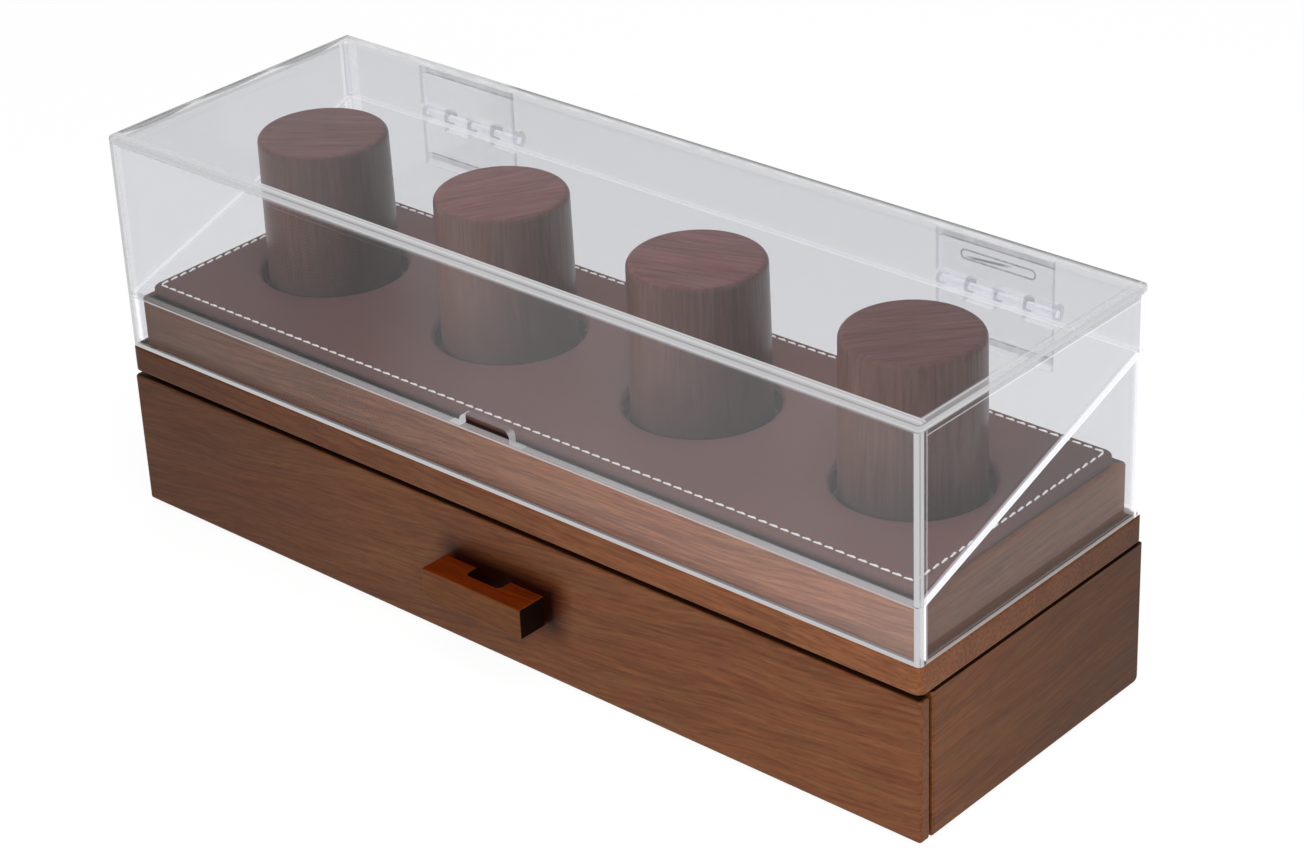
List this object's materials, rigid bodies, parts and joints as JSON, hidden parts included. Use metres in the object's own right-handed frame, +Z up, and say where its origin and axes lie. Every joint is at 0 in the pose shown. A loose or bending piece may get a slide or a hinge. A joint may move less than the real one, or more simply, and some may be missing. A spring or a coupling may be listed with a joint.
{
  "type": "watch display case",
  "caption": "Long low display case: a wooden base with a full-width drawer, a leather pad with round wooden pillars in pockets, and a clear box over them with a rear-hinged lid.",
  "frame": {"origin": "under the middle of the whole object, pull and hinges included, at the level the feet stand on", "axes": "+X along the case, to the right seen from the front; +Y to the back, where the hinges are; +Z up"},
  "size_m": [0.356, 0.1362, 0.1472],
  "materials": {
    "walnut": "satin walnut stain with fine grain",
    "inner_wood": "plain sanded wood, stained lightly",
    "core_board": "raw fibreboard",
    "leather": "fine-grained leather, brown, sewn edge",
    "felt": "short felt",
    "acrylic": "clear polished acrylic sheet",
    "steel": "zinc-plated screws",
    "rubber": "matt black feet"
  },
  "bodies": {
    "case": {"side_left": "walnut", "side_right": "walnut", "back_panel": "walnut", "deck": "walnut", "plinth_rail_front": "walnut", "plinth_rail_right": "walnut", "plinth_rail_rear": "walnut", "plinth_rail_left": "walnut", "bottom_board": "inner_wood", "carcass_dowels": "inner_wood", "kicker_left": "inner_wood", "kicker_right": "inner_wood", "drawer_stop_left": "inner_wood", "drawer_stop_right": "inner_wood", "plinth_core": "core_board", "pad_board": "core_board", "pad_leather": "leather", "pocket_felt_1": "felt", "pocket_felt_2": "felt", "pocket_felt_3": "felt", "pocket_felt_4": "felt", "cover_front": "acrylic", "cover_rear": "acrylic", "cover_left": "acrylic", "cover_right": "acrylic", "hinge_left_lower_leaf": "acrylic", "hinge_left_pin": "acrylic", "hinge_right_lower_leaf": "acrylic", "hinge_right_pin": "acrylic", "plinth_screws": "steel", "foot_front_left": "rubber", "foot_front_right": "rubber", "foot_rear_left": "rubber", "foot_rear_right": "rubber"},
    "lid": {"lid_top": "acrylic", "lid_front": "acrylic", "lid_rear": "acrylic", "lid_left": "acrylic", "lid_right": "acrylic", "hinge_left_upper_leaf": "acrylic", "hinge_right_upper_leaf": "acrylic"},
    "drawer": {"drawer_front": "walnut", "drawer_pull": "walnut", "pull_screws": "steel", "drawer_inner_front": "inner_wood", "drawer_back": "inner_wood", "drawer_side_left": "inner_wood", "drawer_side_right": "inner_wood", "drawer_base": "inner_wood", "drawer_lining": "felt"},
    "pillar_1": {"pillar_1": "walnut"},
    "pillar_2": {"pillar_2": "walnut"},
    "pillar_3": {"pillar_3": "walnut"},
    "pillar_4": {"pillar_4": "walnut"}
  },
  "joints": [
    {"name": "lid_hinge", "type": "hinge", "parent": "case", "child": "lid", "pos_m": [0, 0.0646, 0.1235], "axis": [-1, 0, 0], "range_deg": [0, 105]},
    {"name": "drawer_slide", "type": "slide", "parent": "case", "child": "drawer", "axis": [0, -1, 0], "range_m": [0, 0.08]},
    {"name": "pillar_1_lift", "type": "slide", "parent": "case", "child": "pillar_1", "axis": [0, 0, 1], "range_m": [0, 0.004]},
    {"name": "pillar_2_lift", "type": "slide", "parent": "case", "child": "pillar_2", "axis": [0, 0, 1], "range_m": [0, 0.004]},
    {"name": "pillar_3_lift", "type": "slide", "parent": "case", "child": "pillar_3", "axis": [0, 0, 1], "range_m": [0, 0.004]},
    {"name": "pillar_4_lift", "type": "slide", "parent": "case", "child": "pillar_4", "axis": [0, 0, 1], "range_m": [0, 0.004]}
  ]
}
